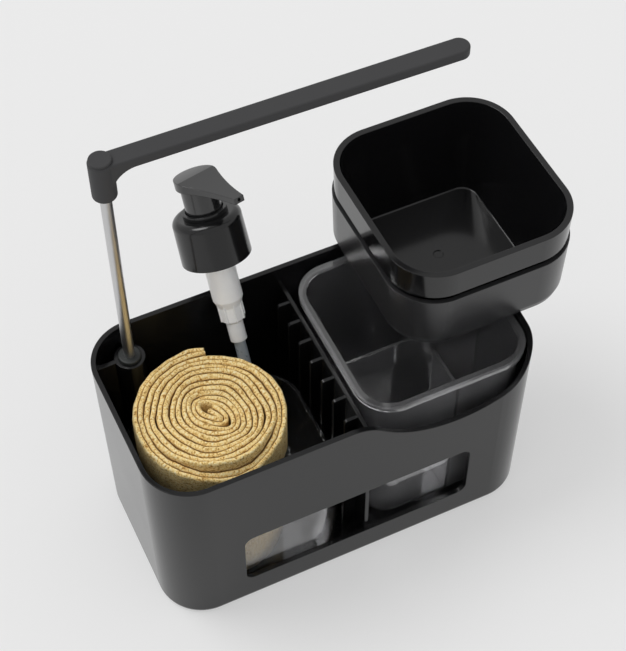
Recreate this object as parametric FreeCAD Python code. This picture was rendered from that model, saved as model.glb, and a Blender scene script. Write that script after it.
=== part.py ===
"""Soap pump caddy: a ribbed two-bay tub with a swivel towel arm, lift-out cups, a soap pump and a cloth.

Millimetres, +Z up. The origin is the middle of the flat base. +X is to the right and -Y to the front.
"""
import FreeCAD, Part
import math
import os

Vec = FreeCAD.Vector

# Shared values
OVERRUN = 5.0
SEAT_GAP = 0.3
RUNNING_GAP = 0.05
FULL_TURN = 360.0
QUARTER_TURN = 90.0
ROUND_STEP_COUNT = 3
TURN_POINT_COUNT = 48

# Tub
TUB_LENGTH = 200.0
TUB_WIDTH = 106.0
TUB_HEIGHT = 111.0
TUB_DRAFT = 1.4
TUB_CORNER = 24.4
TUB_WALL = 2.4
TUB_FLOOR = 3.0
TUB_FOOT_ROUND = 2.5

# Window in the front wall
WINDOW_END_MARGIN = 39.2
WINDOW_BOTTOM = 17.6
WINDOW_TOP = 55.4
WINDOW_CORNER = 5.0

# Dip in the front rim, centred on the right bay
DIP_DEPTH = 23.5
DIP_HOLLOW_RADIUS = 60.0
DIP_SHOULDER_RADIUS = 22.0
DIP_SIDE_RUN = 18.0

# Divider and its ribs
DIVIDER_X = 4.7
DIVIDER_WALL = 2.0
DIVIDER_DROP = 10.0
RIB_COUNT = 7
RIB_PITCH = 12.6
RIB_THICK = 1.8
RIB_REACH = 6.6
RIB_DROP = 11.0
RIB_ROUND = 1.6

# Drain rails on the floor
RAIL_HEIGHT = 3.0
RAIL_THICK = 2.4
RAIL_LENGTH = 64.0
RAIL_PITCH = 26.0
RAIL_COUNT = 3

# Post, its socket and what holds it
POST_INSET_X = 21.3
POST_INSET_Y = 13.4
POST_RADIUS = 2.7
POST_BORE = 2.1
POST_FOOT = 12.0
SOCKET_RADIUS = 7.6
SOCKET_DROP = 9.8
SOCKET_WEB = 2.4
GROMMET_FLANGE_RADIUS = 5.7
GROMMET_FLANGE = 1.8
GROMMET_SPIGOT_RADIUS = 4.2
GROMMET_SPIGOT = 6.0
PLUG_LENGTH = 14.0
SCREW_RADIUS = 1.25
SCREW_HEAD_RADIUS = 2.5
SCREW_HEAD = 1.8
SCREW_LENGTH = 18.0
SCREW_RECESS = 4.0
SCREW_DRIVE = 0.9

# Towel arm
HUB_RADIUS = 5.6
HUB_TOP = 237.6
HUB_LENGTH = 21.1
HUB_ABOVE_POST = 9.0
HUB_WEB = 2.6
HUB_RECESS_RADIUS = 4.0
HUB_EDGE = 1.0
ARM_REACH = 172.9
ARM_SIDE_INSET = 0.8
ARM_FLARE = 0.3
ARM_THICK = 5.2
ARM_DROP = 0.2
ARM_EDGE = 0.9
ARM_ANGLE = -0.9
GUSSET_RADIUS = 11.8
GUSSET_ANGLE = 81.0
CAP_RADIUS = 5.1
CAP_THICK = 1.2
CAP_EDGE = 0.5
CAP_PLUG = 1.6
WASHER_RADIUS = 3.4
WASHER_THICK = 0.5

# Clear cup in the right bay
CUP_SIDE_GAP = 0.8
CUP_END_GAP = 3.5
CUP_CORNER = 18.5
CUP_RIM_DROP = 4.0
CUP_RIM_LIP = 2.0
CUP_RIM_THICK = 2.4
CUP_DRAFT = 2.6
CUP_WALL = 1.8
CUP_FLOOR = 2.0
CUP_FOOT_ROUND = 4.0
FIN_THICK = 1.5
LONG_FIN_DROP = 19.0
SHORT_FIN_DROP = 6.0
SHORT_FIN_OFFSET = 2.85
SHORT_FIN_REACH = 24.0

# Clear container in the left bay
BOX_SIDE_GAP = 0.9
BOX_BACK_GAP = 1.4
BOX_HEIGHT = 56.0
BOX_DRAFT = 0.8
BOX_CORNER = 20.0
BOX_WALL = 1.6
BOX_FLOOR = 2.0
BOX_FOOT_ROUND = 3.0

# Black cups, perched on the back right corner of the rim
PERCH_INSET_X = 17.4
PERCH_INSET_Y = 30.9
OUTER_CUP_LENGTH = 95.0
OUTER_CUP_WIDTH = 99.8
OUTER_CUP_CORNER = 24.6
OUTER_CUP_HEIGHT = 35.2
OUTER_CUP_DRAFT = 1.0
OUTER_CUP_WALL = 2.4
OUTER_CUP_FLOOR = 2.2
OUTER_CUP_FOOT_ROUND = 7.0
INNER_CUP_LENGTH = 94.1
INNER_CUP_WIDTH = 98.9
INNER_CUP_CORNER = 24.3
INNER_CUP_STANDS_OUT = 18.5
INNER_CUP_BAND = 15.5
INNER_CUP_BAND_DRAFT = 0.4
INNER_CUP_BAND_WALL = 0.8
INNER_CUP_DRAFT = 12.0
INNER_CUP_WALL = 2.2
INNER_CUP_FLOOR = 2.0
INNER_CUP_FOOT_ROUND = 3.0
GATE_DIMPLE_LEFT = 4.2
GATE_DIMPLE_RADIUS = 2.4
GATE_DIMPLE_DEPTH = 0.5

# Soap pump, in its own upright frame with 0 at the collar's bottom edge
PUMP_FROM_RIBS = 23.7
PUMP_LEAN_ANGLE = 26.0
PUMP_SIDE_ANGLE = -1.0
PUMP_REST_SHARE = 0.97
COLLAR_BOTTOM_RADIUS = 17.1
COLLAR_TOP_RADIUS = 16.7
COLLAR_HEIGHT = 23.0
COLLAR_SHOULDER = 3.4
COLLAR_BORE = 14.0
COLLAR_TOP_WALL = 1.8
COLLAR_SLEEVE_WALL = 1.2
GUIDE_RADIUS = 10.0
GUIDE_RING_RADIUS = 10.8
GUIDE_RING = 2.4
GUIDE_BORE = 9.2
GUIDE_FLOOR = 1.5
GUIDE_PLUG = 6.0
FLANGE_RADIUS = 13.6
FLANGE_THICK = 1.5
FLANGE_LEVEL = 9.0
GASKET_THICK = 1.5
GASKET_BORE = 7.8
CHAMBER_RADIUS = 7.5
CHAMBER_BORE = 6.3
CHAMBER_DROP = 22.8
CHAMBER_TAPER = 4.0
NECK_RADIUS = 5.8
NECK_BORE = 3.4
NECK_LENGTH = 11.6
NECK_RIB_COUNT = 8
NECK_RIB_THICK = 0.8
NECK_RIB_REACH = 0.6
SOCKET_STEP_RADIUS = 4.2
SOCKET_STEP_LENGTH = 12.0
SEAT_HOLE = 1.2
SEAT_WEB = 2.3
TUBE_RADIUS = 2.9
TUBE_BORE = 2.1
TUBE_LENGTH = 60.0
TUBE_GRIP = 9.0
BALL_RADIUS = 2.2
STEM_RADIUS = 3.5
STEM_SPIGOT_RADIUS = 2.8
STEM_BORE = 1.6
PISTON_LENGTH = 6.0
PISTON_WAIST = 0.7
SPRING_WIRE = 0.9
SPRING_RADIUS = 5.0
SPRING_TURN_COUNT = 6
HEAD_SKIRT_RADIUS = 8.8
HEAD_SKIRT_BORE = 7.4
HEAD_SKIRT_DIP = 1.4
HEAD_SKIRT_LENGTH = 14.6
HEAD_BOSS_RADIUS = 5.2
HEAD_RADIUS = 10.7
HEAD_REACH = 31.4
HEAD_WAIST = 1.0
HEAD_TIP_WIDTH = 5.4
HEAD_THICK = 4.2
HEAD_TIP_THICK = 2.8
HEAD_TIP_DROP = 3.4
HEAD_EDGE_THICK = 2.6
HEAD_DOME = 0.6
HEAD_ANGLE = -72.0
SPOUT_BORE = 0.8

# Rolled cloth
ROLL_SPARE = 3.1
ROLL_SIDE_GAP = 1.3
ROLL_FRONT_GAP = 0.2
ROLL_PAST_TUBE = 7.6
ROLL_CORE = 6.0
ROLL_HEIGHT = 96.5
ROLL_PITCH = 5.8
ROLL_LAYER = 5.1
ROLL_ANGLE = -112.0

# Places that follow from the sizes above
POST_X = -TUB_LENGTH / 2 + POST_INSET_X
POST_Y = TUB_WIDTH / 2 - POST_INSET_Y
POST_TOP = HUB_TOP - HUB_ABOVE_POST
HUB_BOTTOM = HUB_TOP - HUB_LENGTH
PERCH_X = TUB_LENGTH / 2 - PERCH_INSET_X
PERCH_Y = TUB_WIDTH / 2 - PERCH_INSET_Y
PUMP_X = DIVIDER_X - RIB_REACH - PUMP_FROM_RIBS
BOX_BACK_Y = POST_Y - SOCKET_RADIUS - BOX_BACK_GAP
CUP_LENGTH = TUB_LENGTH / 2 - TUB_WALL - DIVIDER_X - DIVIDER_WALL - 2 * CUP_SIDE_GAP
CUP_WIDTH = TUB_WIDTH - 2 * TUB_WALL - 2 * CUP_END_GAP
CUP_RIM_TOP = TUB_HEIGHT - CUP_RIM_DROP


def outline(length, width, corner, level, x=0.0, y=0.0):
    """A rounded rectangle as a wire, level with the base."""
    half_l = length / 2
    half_w = width / 2
    diagonal = corner * (1 - math.sqrt(0.5))
    edges = []
    corners = [(1, -1), (1, 1), (-1, 1), (-1, -1)]
    for index, (sx, sy) in enumerate(corners):
        along_x = Vec(x + sx * (half_l - corner), y + sy * half_w, level)
        along_y = Vec(x + sx * half_l, y + sy * (half_w - corner), level)
        middle = Vec(x + sx * (half_l - diagonal), y + sy * (half_w - diagonal), level)
        first, last = (along_x, along_y) if index % 2 == 0 else (along_y, along_x)
        edges.append((first, middle, last))
    parts = []
    for index, (first, middle, last) in enumerate(edges):
        parts.append(Part.Arc(first, middle, last).toShape())
        parts.append(Part.makeLine(last, edges[(index + 1) % len(edges)][0]))
    return Part.Wire(parts)


def stack(sections):
    """A closed solid ruled through level outlines."""
    return Part.makeLoft([outline(*section) for section in sections], True, True)


def foot_sections(length, width, corner, level, radius, slope, x=0.0, y=0.0):
    """Sections that round the lower edge of a drafted form, from its bottom face upwards."""
    sections = []
    for step in range(ROUND_STEP_COUNT + 1):
        turn = math.radians(QUARTER_TURN) * step / ROUND_STEP_COUNT
        rise = radius * (1 - math.cos(turn))
        inset = radius * (1 - math.sin(turn)) - slope * rise
        sections.append((length - 2 * inset, width - 2 * inset, corner - inset, level + rise, x, y))
    return sections


def tub_form(length, width, corner, bottom, top, draft, radius, x=0.0, y=0.0):
    """A drafted form with a rounded foot: length, width and corner are those of the top."""
    slope = draft / (top - bottom)
    foot = foot_sections(
        length - 2 * draft, width - 2 * draft, corner - draft, bottom, radius, slope, x, y
    )
    return stack(foot + [(length, width, corner, top, x, y)])


def box(low, high):
    """A block between two opposite corners."""
    return Part.makeBox(high.x - low.x, high.y - low.y, high.z - low.z, low)


def rod(radius, bottom, top, x=0.0, y=0.0):
    """An upright cylinder."""
    return Part.makeCylinder(radius, top - bottom, Vec(x, y, bottom))


def pipe(radius, bore, bottom, top, x=0.0, y=0.0):
    """An upright tube."""
    outer = rod(radius, bottom, top, x, y)
    return outer.cut(rod(bore, bottom - OVERRUN, top + OVERRUN, x, y))


def turned(points):
    """A solid of revolution about the Z axis from (radius, level) points."""
    corners = [Vec(radius, 0, level) for radius, level in points]
    face = Part.Face(Part.makePolygon(corners + corners[:1]))
    return face.revolve(Vec(0, 0, 0), Vec(0, 0, 1), FULL_TURN)


def joined(shapes):
    """One solid from overlapping shapes."""
    return shapes[0].fuse(shapes[1:]).removeSplitter()


def least_gap(route, thick):
    """The narrowest gap between the turns of a winding, measured on points half a turn or more apart."""
    skip = TURN_POINT_COUNT // 2
    return min(
        point.distanceToPoint(other) - thick
        for index, point in enumerate(route)
        for other in route[index + skip:]
    )


def tub_outer():
    return tub_form(
        TUB_LENGTH, TUB_WIDTH, TUB_CORNER, 0.0, TUB_HEIGHT, TUB_DRAFT, TUB_FOOT_ROUND
    )


def tub_inner():
    slope = TUB_DRAFT / TUB_HEIGHT
    low = TUB_DRAFT - slope * TUB_FLOOR + TUB_WALL
    high = TUB_WALL - slope * OVERRUN
    return stack([
        (TUB_LENGTH - 2 * low, TUB_WIDTH - 2 * low, TUB_CORNER - low, TUB_FLOOR),
        (TUB_LENGTH - 2 * high, TUB_WIDTH - 2 * high, TUB_CORNER - high, TUB_HEIGHT + OVERRUN),
    ])


def dip_cut():
    """What the dip takes out of the front wall and, more gently, out of the right wall's front."""
    middle_x = clear_cup_x()
    reach = DIP_HOLLOW_RADIUS + DIP_SHOULDER_RADIUS
    turn = math.acos(1 - DIP_DEPTH / reach)
    floor = TUB_HEIGHT - DIP_DEPTH
    hollow_centre = floor + DIP_HOLLOW_RADIUS
    shoulder_centre = TUB_HEIGHT - DIP_SHOULDER_RADIUS
    half_width = reach * math.sin(turn)
    front_y = -TUB_WIDTH / 2 - OVERRUN
    corner_y = -TUB_WIDTH / 2 + TUB_CORNER

    def hollow_point(angle):
        return Vec(
            middle_x + DIP_HOLLOW_RADIUS * math.sin(angle),
            front_y,
            hollow_centre - DIP_HOLLOW_RADIUS * math.cos(angle),
        )

    def shoulder_point(side, angle):
        return Vec(
            middle_x + side * (half_width - DIP_SHOULDER_RADIUS * math.sin(angle)),
            front_y,
            shoulder_centre + DIP_SHOULDER_RADIUS * math.cos(angle),
        )

    top = TUB_HEIGHT + OVERRUN
    left_end = shoulder_point(-1, 0.0)
    right_end = shoulder_point(1, 0.0)
    wire = Part.Wire([
        Part.makeLine(Vec(left_end.x, front_y, top), left_end),
        Part.Arc(left_end, shoulder_point(-1, turn / 2), hollow_point(-turn)).toShape(),
        Part.Arc(hollow_point(-turn), hollow_point(0.0), hollow_point(turn)).toShape(),
        Part.Arc(hollow_point(turn), shoulder_point(1, turn / 2), right_end).toShape(),
        Part.makeLine(right_end, Vec(right_end.x, front_y, top)),
        Part.makeLine(Vec(right_end.x, front_y, top), Vec(left_end.x, front_y, top)),
    ])
    front = Part.Face(wire).extrude(Vec(0, corner_y - front_y, 0))

    def level(x):
        across = abs(x - middle_x)
        if across >= half_width:
            return TUB_HEIGHT
        if across >= DIP_HOLLOW_RADIUS * math.sin(turn):
            return shoulder_centre + math.sqrt(DIP_SHOULDER_RADIUS ** 2 - (half_width - across) ** 2)
        return hollow_centre - math.sqrt(DIP_HOLLOW_RADIUS ** 2 - across ** 2)

    # Past the corner the dip runs out along the right wall
    end_y = corner_y + DIP_SIDE_RUN
    stations = [TUB_LENGTH / 2 + TUB_WALL * step for step in (-2, -1, 0, 1)]
    near = [Vec(x, corner_y, level(x)) for x in stations]
    far = [Vec(x, end_y, TUB_HEIGHT) for x in stations]
    sections = []
    for points, y in ((near, corner_y), (far, end_y)):
        ring = points + [Vec(stations[-1], y, top), Vec(stations[0], y, top)]
        sections.append(Part.makePolygon(ring + ring[:1]))
    return front.fuse(Part.makeLoft(sections, True, True))


def window_cut():
    """A rounded slot through the front wall."""
    height = WINDOW_TOP - WINDOW_BOTTOM
    through = TUB_WALL + TUB_DRAFT * (1 - WINDOW_BOTTOM / TUB_HEIGHT)
    flat = outline(TUB_LENGTH - 2 * WINDOW_END_MARGIN, height, WINDOW_CORNER, 0.0)
    slot = Part.Face(flat).extrude(Vec(0, 0, through + OVERRUN))
    slot.rotate(Vec(0, 0, 0), Vec(1, 0, 0), QUARTER_TURN)
    slot.translate(Vec(0, -TUB_WIDTH / 2 + through, (WINDOW_BOTTOM + WINDOW_TOP) / 2))
    return slot


def divider():
    """The wall between the bays, with upright ribs on its left face."""
    half = TUB_WIDTH / 2
    wall = box(
        Vec(DIVIDER_X, -half, 0.0),
        Vec(DIVIDER_X + DIVIDER_WALL, half, TUB_HEIGHT - DIVIDER_DROP),
    )
    pieces = [wall]
    top = TUB_HEIGHT - RIB_DROP
    for index in range(RIB_COUNT):
        y = (index - (RIB_COUNT - 1) / 2) * RIB_PITCH - RIB_THICK / 2
        rib = box(
            Vec(DIVIDER_X - RIB_REACH, y, 0.0),
            Vec(DIVIDER_X + DIVIDER_WALL / 2, y + RIB_THICK, top),
        )
        outer_top = [
            edge for edge in rib.Edges
            if all(
                abs(vertex.X - DIVIDER_X + RIB_REACH) < RIB_THICK / 10
                and abs(vertex.Z - top) < RIB_THICK / 10
                for vertex in edge.Vertexes
            )
        ]
        pieces.append(rib.makeFillet(RIB_ROUND, outer_top))
    return joined(pieces)


def rails(middle_x):
    """Low rails that keep a container clear of the wet floor."""
    pieces = []
    for index in range(RAIL_COUNT):
        x = middle_x + (index - (RAIL_COUNT - 1) / 2) * RAIL_PITCH
        pieces.append(box(
            Vec(x - RAIL_THICK / 2, -RAIL_LENGTH / 2, TUB_FLOOR / 2),
            Vec(x + RAIL_THICK / 2, RAIL_LENGTH / 2, TUB_FLOOR + RAIL_HEIGHT),
        ))
    return pieces


def socket_top():
    return TUB_HEIGHT - SOCKET_DROP


def post_socket():
    """The pillar that takes the post, with webs to the back wall and the left wall."""
    top = socket_top()
    pillar = rod(SOCKET_RADIUS, 0.0, top, POST_X, POST_Y)
    to_back = box(
        Vec(POST_X - SOCKET_WEB / 2, POST_Y, 0.0),
        Vec(POST_X + SOCKET_WEB / 2, TUB_WIDTH / 2, top),
    )
    to_left = box(
        Vec(-TUB_LENGTH / 2, POST_Y - SOCKET_WEB / 2, 0.0),
        Vec(POST_X, POST_Y + SOCKET_WEB / 2, top),
    )
    return joined([pillar, to_back, to_left])


def caddy_body():
    outer = tub_outer()
    shell = outer.cut(tub_inner())
    fittings = [divider(), post_socket()] + rails(clear_cup_x()) + rails(container_x())
    body = joined([shell] + [piece.common(outer) for piece in fittings])
    body = body.cut(window_cut()).cut(dip_cut())
    top = socket_top()
    bores = [
        rod(POST_RADIUS, POST_FOOT, top + OVERRUN, POST_X, POST_Y),
        rod(GROMMET_SPIGOT_RADIUS, top - GROMMET_SPIGOT, top + OVERRUN, POST_X, POST_Y),
        rod(SCREW_RADIUS + RUNNING_GAP, -OVERRUN, POST_FOOT + OVERRUN, POST_X, POST_Y),
        rod(SCREW_HEAD_RADIUS + SEAT_GAP, -OVERRUN, SCREW_RECESS, POST_X, POST_Y),
    ]
    for bore in bores:
        body = body.cut(bore)
    return body.removeSplitter()


def post_tube():
    return pipe(POST_RADIUS, POST_BORE, POST_FOOT, POST_TOP, POST_X, POST_Y)


def post_grommet():
    top = socket_top()
    flange = rod(GROMMET_FLANGE_RADIUS, top, top + GROMMET_FLANGE, POST_X, POST_Y)
    rim = [edge for edge in flange.Edges if edge.BoundBox.ZMin > top + GROMMET_FLANGE / 2]
    flange = flange.makeFillet(GROMMET_FLANGE / 2, [e for e in rim if len(e.Vertexes) == 1])
    spigot = rod(GROMMET_SPIGOT_RADIUS, top - GROMMET_SPIGOT, top, POST_X, POST_Y)
    hole = rod(POST_RADIUS, top - GROMMET_SPIGOT - OVERRUN, top + OVERRUN, POST_X, POST_Y)
    return joined([flange, spigot]).cut(hole)


def post_plug():
    return pipe(POST_BORE, SCREW_RADIUS, POST_FOOT, POST_FOOT + PLUG_LENGTH, POST_X, POST_Y)


def top_plug():
    return pipe(POST_BORE, SCREW_RADIUS, POST_TOP - PLUG_LENGTH, POST_TOP, POST_X, POST_Y)


def screw(head_face, direction):
    """A pan head screw on the post's line: its head's seat, and 1 for shank up or -1 for shank down."""
    shank_end = head_face + direction * SCREW_LENGTH
    head_end = head_face - direction * SCREW_HEAD
    shank = rod(SCREW_RADIUS, min(head_face, shank_end), max(head_face, shank_end), POST_X, POST_Y)
    head = rod(SCREW_HEAD_RADIUS, min(head_face, head_end), max(head_face, head_end), POST_X, POST_Y)
    slot_end = head_end + direction * SCREW_HEAD / 2
    drive = rod(SCREW_DRIVE, min(head_end, slot_end), max(head_end, slot_end), POST_X, POST_Y)
    return joined([shank, head]).cut(drive)


def post_screw():
    return screw(SCREW_RECESS, 1)


def hub_web_bottom():
    return POST_TOP + SEAT_GAP


def washer_bottom():
    return hub_web_bottom() + HUB_WEB + RUNNING_GAP


def pivot_washer():
    bottom = washer_bottom()
    return pipe(WASHER_RADIUS, SCREW_RADIUS, bottom, bottom + WASHER_THICK, POST_X, POST_Y)


def pivot_screw():
    return screw(washer_bottom() + WASHER_THICK, -1)


def towel_arm():
    """The hub, with its bore and screw recess, and the flat bar with its hollow gusset."""
    hub = rod(HUB_RADIUS, HUB_BOTTOM, HUB_TOP)
    hub = hub.makeFillet(HUB_EDGE, [edge for edge in hub.Edges if len(edge.Vertexes) == 1])
    arm_top = HUB_TOP - ARM_DROP
    arm_bottom = arm_top - ARM_THICK
    root = HUB_RADIUS - ARM_SIDE_INSET
    tip = root + ARM_FLARE
    tip_x = ARM_REACH - tip
    plan = Part.Wire([
        Part.makeLine(Vec(0, -root, arm_bottom), Vec(tip_x, -tip, arm_bottom)),
        Part.Arc(
            Vec(tip_x, -tip, arm_bottom), Vec(ARM_REACH, 0, arm_bottom), Vec(tip_x, tip, arm_bottom)
        ).toShape(),
        Part.makeLine(Vec(tip_x, tip, arm_bottom), Vec(0, root, arm_bottom)),
        Part.makeLine(Vec(0, root, arm_bottom), Vec(0, -root, arm_bottom)),
    ])
    bar = Part.Face(plan).extrude(Vec(0, 0, ARM_THICK))
    long_edges = [
        edge for edge in bar.Edges
        if edge.BoundBox.ZLength < ARM_EDGE and edge.BoundBox.XMax > root
    ]
    bar = bar.makeFillet(ARM_EDGE, long_edges)

    # The gusset's arc runs from where the bar's side meets the hub to the bar's underside
    start_x = math.sqrt(HUB_RADIUS ** 2 - root ** 2)
    turn = math.radians(GUSSET_ANGLE)
    far_x = start_x + GUSSET_RADIUS * math.sin(turn)

    def hollow(angle):
        return Vec(
            far_x - GUSSET_RADIUS * math.sin(angle),
            -root,
            arm_bottom - GUSSET_RADIUS * (1 - math.cos(angle)),
        )

    inside = Vec(0, -root, arm_bottom + ARM_THICK / 2)
    out = Vec(far_x, -root, arm_bottom + ARM_THICK / 2)
    low = Vec(0, -root, hollow(turn).z)
    profile = Part.Wire([
        Part.makeLine(low, hollow(turn)),
        Part.Arc(hollow(turn), hollow(turn / 2), hollow(0.0)).toShape(),
        Part.makeLine(hollow(0.0), out),
        Part.makeLine(out, inside),
        Part.makeLine(inside, low),
    ])
    gusset = Part.Face(profile).extrude(Vec(0, 2 * root, 0))
    curved_edges = [
        edge for edge in gusset.Edges
        if edge.BoundBox.ZLength > ARM_THICK and edge.BoundBox.XMax > far_x - ARM_EDGE
        and edge.BoundBox.XLength > ARM_THICK
    ]
    gusset = gusset.makeFillet(ARM_EDGE, curved_edges)

    arm = joined([hub, bar, gusset])
    web_top = hub_web_bottom() + HUB_WEB
    arm = arm.cut(rod(POST_RADIUS + RUNNING_GAP, HUB_BOTTOM - OVERRUN, hub_web_bottom()))
    arm = arm.cut(rod(SCREW_RADIUS + RUNNING_GAP, HUB_BOTTOM, HUB_TOP + OVERRUN))
    arm = arm.cut(rod(HUB_RECESS_RADIUS, web_top, HUB_TOP + OVERRUN))
    return placed_on_post(arm)


def placed_on_post(shape):
    shape.rotate(Vec(0, 0, 0), Vec(0, 0, 1), ARM_ANGLE)
    shape.translate(Vec(POST_X, POST_Y, 0))
    return shape


def hub_cap():
    disc = rod(CAP_RADIUS, HUB_TOP, HUB_TOP + CAP_THICK)
    upper = [edge for edge in disc.Edges if edge.BoundBox.ZMin > HUB_TOP + CAP_THICK / 2]
    disc = disc.makeFillet(CAP_EDGE, [edge for edge in upper if len(edge.Vertexes) == 1])
    plug = rod(HUB_RECESS_RADIUS, HUB_TOP - CAP_PLUG, HUB_TOP)
    return placed_on_post(joined([disc, plug]))


def bay_floor():
    """The level that both containers stand at."""
    return TUB_FLOOR + RAIL_HEIGHT + SEAT_GAP


def right_bay():
    """The inside faces of the right bay at the rim: left and right x."""
    return DIVIDER_X + DIVIDER_WALL, TUB_LENGTH / 2 - TUB_WALL


def clear_cup_x():
    left, right = right_bay()
    return (left + right) / 2


def clear_cup():
    x = clear_cup_x()
    bottom = bay_floor()
    rim_bottom = CUP_RIM_TOP - CUP_RIM_THICK
    length = CUP_LENGTH - 2 * CUP_RIM_LIP
    width = CUP_WIDTH - 2 * CUP_RIM_LIP
    corner = CUP_CORNER - CUP_RIM_LIP
    form = tub_form(length, width, corner, bottom, CUP_RIM_TOP, CUP_DRAFT, CUP_FOOT_ROUND, x)
    rim = stack([
        (CUP_LENGTH, CUP_WIDTH, CUP_CORNER, rim_bottom, x),
        (CUP_LENGTH, CUP_WIDTH, CUP_CORNER, CUP_RIM_TOP, x),
    ])
    hollow = tub_form(
        length - 2 * CUP_WALL,
        width - 2 * CUP_WALL,
        corner - CUP_WALL,
        bottom + CUP_FLOOR,
        CUP_RIM_TOP,
        CUP_DRAFT,
        CUP_FOOT_ROUND - CUP_WALL,
        x,
    )
    half_l = CUP_LENGTH / 2
    half_w = CUP_WIDTH / 2
    long_fin = box(
        Vec(x - half_l, -FIN_THICK / 2, bottom),
        Vec(x + half_l, FIN_THICK / 2, CUP_RIM_TOP - LONG_FIN_DROP),
    )
    inner_front = -half_w + CUP_RIM_LIP + CUP_WALL
    fin_x = x + SHORT_FIN_OFFSET
    short_fin = box(
        Vec(fin_x - FIN_THICK / 2, -half_w, bottom),
        Vec(
            fin_x + FIN_THICK / 2,
            inner_front + SHORT_FIN_REACH,
            CUP_RIM_TOP - SHORT_FIN_DROP,
        ),
    )
    shell = joined([form, rim]).cut(hollow)
    return joined([shell, long_fin.common(form), short_fin.common(form)])


def left_bay():
    """The inside faces of the left bay, at the container's rim: left and right x."""
    slope = TUB_DRAFT / TUB_HEIGHT
    left = -TUB_LENGTH / 2 + TUB_WALL + slope * (TUB_HEIGHT - bay_floor() - BOX_HEIGHT)
    return left, DIVIDER_X - RIB_REACH


def container_x():
    left, right = left_bay()
    return (left + right) / 2


def container_front_y():
    slope = TUB_DRAFT / TUB_HEIGHT
    lean = slope * (TUB_HEIGHT - bay_floor() - BOX_HEIGHT)
    return -TUB_WIDTH / 2 + TUB_WALL + lean + BOX_SIDE_GAP


def clear_container():
    left, right = left_bay()
    length = right - left - 2 * BOX_SIDE_GAP
    front = container_front_y()
    width = BOX_BACK_Y - front
    y = (BOX_BACK_Y + front) / 2
    x = container_x()
    bottom = bay_floor()
    top = bottom + BOX_HEIGHT
    form = tub_form(length, width, BOX_CORNER, bottom, top, BOX_DRAFT, BOX_FOOT_ROUND, x, y)
    hollow = tub_form(
        length - 2 * BOX_WALL,
        width - 2 * BOX_WALL,
        BOX_CORNER - BOX_WALL,
        bottom + BOX_FLOOR,
        top + OVERRUN,
        BOX_DRAFT,
        BOX_FOOT_ROUND - BOX_WALL,
        x,
        y,
    )
    return form.cut(hollow)


def outer_cup_bottom():
    return TUB_HEIGHT + SEAT_GAP


def outer_cup():
    bottom = outer_cup_bottom()
    top = bottom + OUTER_CUP_HEIGHT
    form = tub_form(
        OUTER_CUP_LENGTH, OUTER_CUP_WIDTH, OUTER_CUP_CORNER, bottom, top,
        OUTER_CUP_DRAFT, OUTER_CUP_FOOT_ROUND, PERCH_X, PERCH_Y,
    )
    hollow = tub_form(
        OUTER_CUP_LENGTH - 2 * OUTER_CUP_WALL,
        OUTER_CUP_WIDTH - 2 * OUTER_CUP_WALL,
        OUTER_CUP_CORNER - OUTER_CUP_WALL,
        bottom + OUTER_CUP_FLOOR,
        top,
        OUTER_CUP_DRAFT,
        OUTER_CUP_FOOT_ROUND - OUTER_CUP_WALL,
        PERCH_X,
        PERCH_Y,
    )
    return form.cut(hollow)


def inner_cup():
    """The upper cup: an upright band at the rim, over a tapered body that stands in the lower cup."""
    bottom = outer_cup_bottom() + OUTER_CUP_FLOOR + SEAT_GAP
    top = outer_cup_bottom() + OUTER_CUP_HEIGHT + INNER_CUP_STANDS_OUT
    length = INNER_CUP_LENGTH - 2 * INNER_CUP_BAND_WALL
    width = INNER_CUP_WIDTH - 2 * INNER_CUP_BAND_WALL
    corner = INNER_CUP_CORNER - INNER_CUP_BAND_WALL
    form = tub_form(
        length, width, corner, bottom, top,
        INNER_CUP_DRAFT, INNER_CUP_FOOT_ROUND, PERCH_X, PERCH_Y,
    )
    band = stack([
        (
            INNER_CUP_LENGTH - 2 * inset,
            INNER_CUP_WIDTH - 2 * inset,
            INNER_CUP_CORNER - inset,
            level,
            PERCH_X,
            PERCH_Y,
        )
        for inset, level in ((INNER_CUP_BAND_DRAFT, top - INNER_CUP_BAND), (0.0, top))
    ])
    hollow = tub_form(
        length - 2 * INNER_CUP_WALL,
        width - 2 * INNER_CUP_WALL,
        corner - INNER_CUP_WALL,
        bottom + INNER_CUP_FLOOR,
        top,
        INNER_CUP_DRAFT,
        INNER_CUP_FOOT_ROUND - INNER_CUP_WALL,
        PERCH_X,
        PERCH_Y,
    )
    floor = bottom + INNER_CUP_FLOOR
    dimple = rod(
        GATE_DIMPLE_RADIUS, floor - GATE_DIMPLE_DEPTH, floor + OVERRUN,
        PERCH_X - GATE_DIMPLE_LEFT, PERCH_Y,
    )
    return joined([form, band]).cut(hollow).cut(dimple)


def flange_top():
    return FLANGE_LEVEL + FLANGE_THICK


def guide_floor_top():
    return flange_top() + GUIDE_FLOOR


def head_level():
    """The lower edge of the head's skirt, a little inside the guide's ring."""
    return COLLAR_HEIGHT + GUIDE_RING - HEAD_SKIRT_DIP


def head_base():
    """The underside of the head's leaf."""
    return head_level() + HEAD_SKIRT_LENGTH


def piston_bottom():
    return flange_top() - GUIDE_PLUG - SEAT_GAP - PISTON_LENGTH


def chamber_bottom():
    return -CHAMBER_DROP


def neck_bottom():
    return chamber_bottom() - NECK_LENGTH


def seat_top():
    return neck_bottom() + SEAT_WEB


def spring_seat():
    """The ledge inside the chamber that the spring stands on."""
    return chamber_bottom() + CHAMBER_RADIUS - CHAMBER_BORE


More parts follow.
